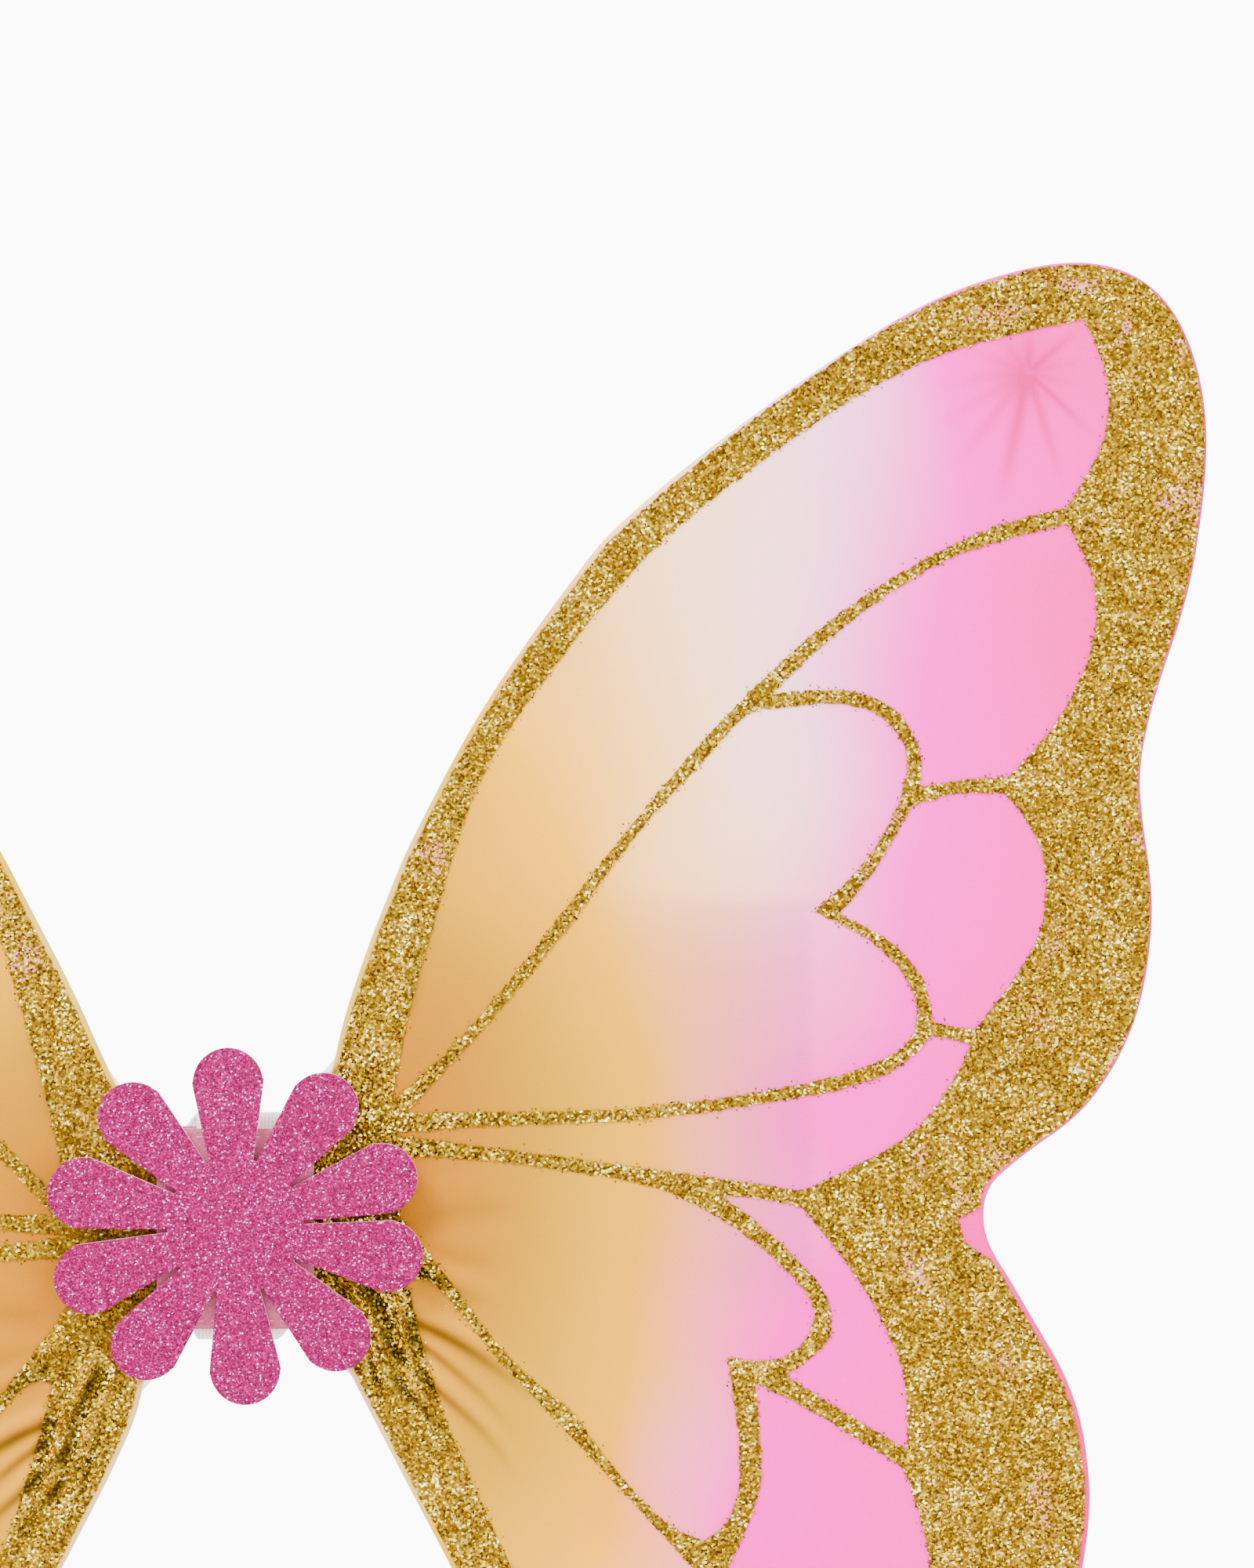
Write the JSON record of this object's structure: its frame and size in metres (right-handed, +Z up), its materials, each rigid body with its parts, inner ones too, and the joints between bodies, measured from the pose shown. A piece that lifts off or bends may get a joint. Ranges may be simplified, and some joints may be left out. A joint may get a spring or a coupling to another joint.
{
  "type": "fairy wings",
  "caption": "Child's fairy wings: wire-framed sheer nylon wings with glitter veins, on a padded hub with a foam flower and elastic arm loops.",
  "frame": {"origin": "centre of the back pad's rear face, which lies against the wearer's back", "axes": "+X to the viewer's right when the flower faces the viewer, +Y towards the wearer, +Z up"},
  "size_m": [0.5732, 0.142, 0.5184],
  "materials": {
    "glitter_foam": "EVA foam sheet faced with pink glitter",
    "glue": "hot-melt glue, satin",
    "pad": "pale pink felt",
    "tape": "woven cotton binding tape",
    "elastic": "woven flat elastic",
    "wire": "steel wire in a white plastic coat",
    "crimp": "crimped steel sleeve",
    "nylon": "sheer rib-knit nylon, dyed from orange to hot pink",
    "gold_glitter": "gold hologram glitter in clear binder",
    "thread": "pink polyester thread, wound"
  },
  "bodies": {
    "hub": {"flower": "glitter_foam", "flower_glue": "glue", "front_pad": "pad", "centre_binding": "tape", "back_pad": "pad", "right_strap_upper_tail": "elastic", "right_strap_lower_tail": "elastic", "left_strap_upper_tail": "elastic", "left_strap_lower_tail": "elastic"},
    "right_wing": {"right_frame_wire": "wire", "right_wire_sleeve": "crimp", "right_front_skin": "nylon", "right_back_skin": "nylon", "right_glitter": "gold_glitter", "right_tip_gather": "nylon", "right_tip_tie": "thread"},
    "left_wing": {"left_frame_wire": "wire", "left_wire_sleeve": "crimp", "left_front_skin": "nylon", "left_back_skin": "nylon", "left_glitter": "gold_glitter", "left_tip_gather": "nylon", "left_tip_tie": "thread"},
    "right_strap": {"right_strap": "elastic"},
    "left_strap": {"left_strap": "elastic"}
  },
  "joints": [
    {"name": "right_wing_flex", "type": "hinge", "parent": "hub", "child": "right_wing", "pos_m": [0.015, -0.0073, 0], "axis": [0, 0, 1], "range_deg": [-5, 15], "stiffness_Nm_per_rad": 0.3},
    {"name": "left_wing_flex", "type": "hinge", "parent": "hub", "child": "left_wing", "pos_m": [-0.015, -0.0073, 0], "axis": [0, 0, -1], "range_deg": [-5, 15], "stiffness_Nm_per_rad": 0.3},
    {"name": "right_strap_swing", "type": "hinge", "parent": "hub", "child": "right_strap", "pos_m": [0.007, -0.004, 0], "axis": [0, 0, -1], "range_deg": [-10, 40]},
    {"name": "left_strap_swing", "type": "hinge", "parent": "hub", "child": "left_strap", "pos_m": [-0.007, -0.004, 0], "axis": [0, 0, 1], "range_deg": [-10, 40]}
  ]
}
